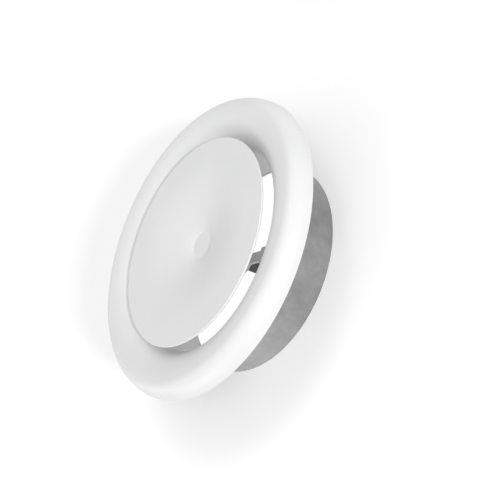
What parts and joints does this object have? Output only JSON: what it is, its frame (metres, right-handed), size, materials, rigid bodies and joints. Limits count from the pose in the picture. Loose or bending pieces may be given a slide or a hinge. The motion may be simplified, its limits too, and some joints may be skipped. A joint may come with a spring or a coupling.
{
  "type": "air valve",
  "caption": "Round metal disc air valve: white bull-nose ring and a screw-set dished disc on a bridge, held by a bayonet in a galvanised duct collar.",
  "frame": {"origin": "centre of the collar's back edge, where the collar ends in the duct", "axes": "+Z along the valve axis from the duct to the room, Y along the bridge"},
  "size_m": [0.14, 0.14, 0.0398],
  "materials": {
    "white_paint": "semi-matt white powder coat",
    "galvanised": "dull galvanised with faint spangle",
    "zinc_steel": "zinc plated",
    "foam": "matt closed-cell foam"
  },
  "bodies": {
    "collar": {"mounting_collar": "galvanised"},
    "valve": {"valve_ring": "white_paint", "rim_gasket": "foam", "bridge": "white_paint", "bridge_rivets": "white_paint", "bridge_nut": "white_paint", "lock_nut": "zinc_steel"},
    "spindle": {"spindle": "zinc_steel"},
    "disc": {"valve_disc": "white_paint"}
  },
  "joints": [
    {"name": "bayonet_turn", "type": "hinge", "parent": "collar", "child": "valve", "pos_m": [0, 0, 0.022], "axis": [0, 0, 1], "range_deg": [0, 14]},
    {"name": "spindle_travel", "type": "slide", "parent": "valve", "child": "spindle", "axis": [0, 0, 1], "range_m": [-0.0064, 0.0061]},
    {"name": "disc_turn", "type": "hinge", "parent": "spindle", "child": "disc", "pos_m": [0, 0, 0.0316], "axis": [0, 0, 1], "range_deg": [-2268, 2160]}
  ],
  "couplings": [
    {"joint": "spindle_travel", "follows": "disc_turn", "m_per_rad": 0.00015915}
  ]
}
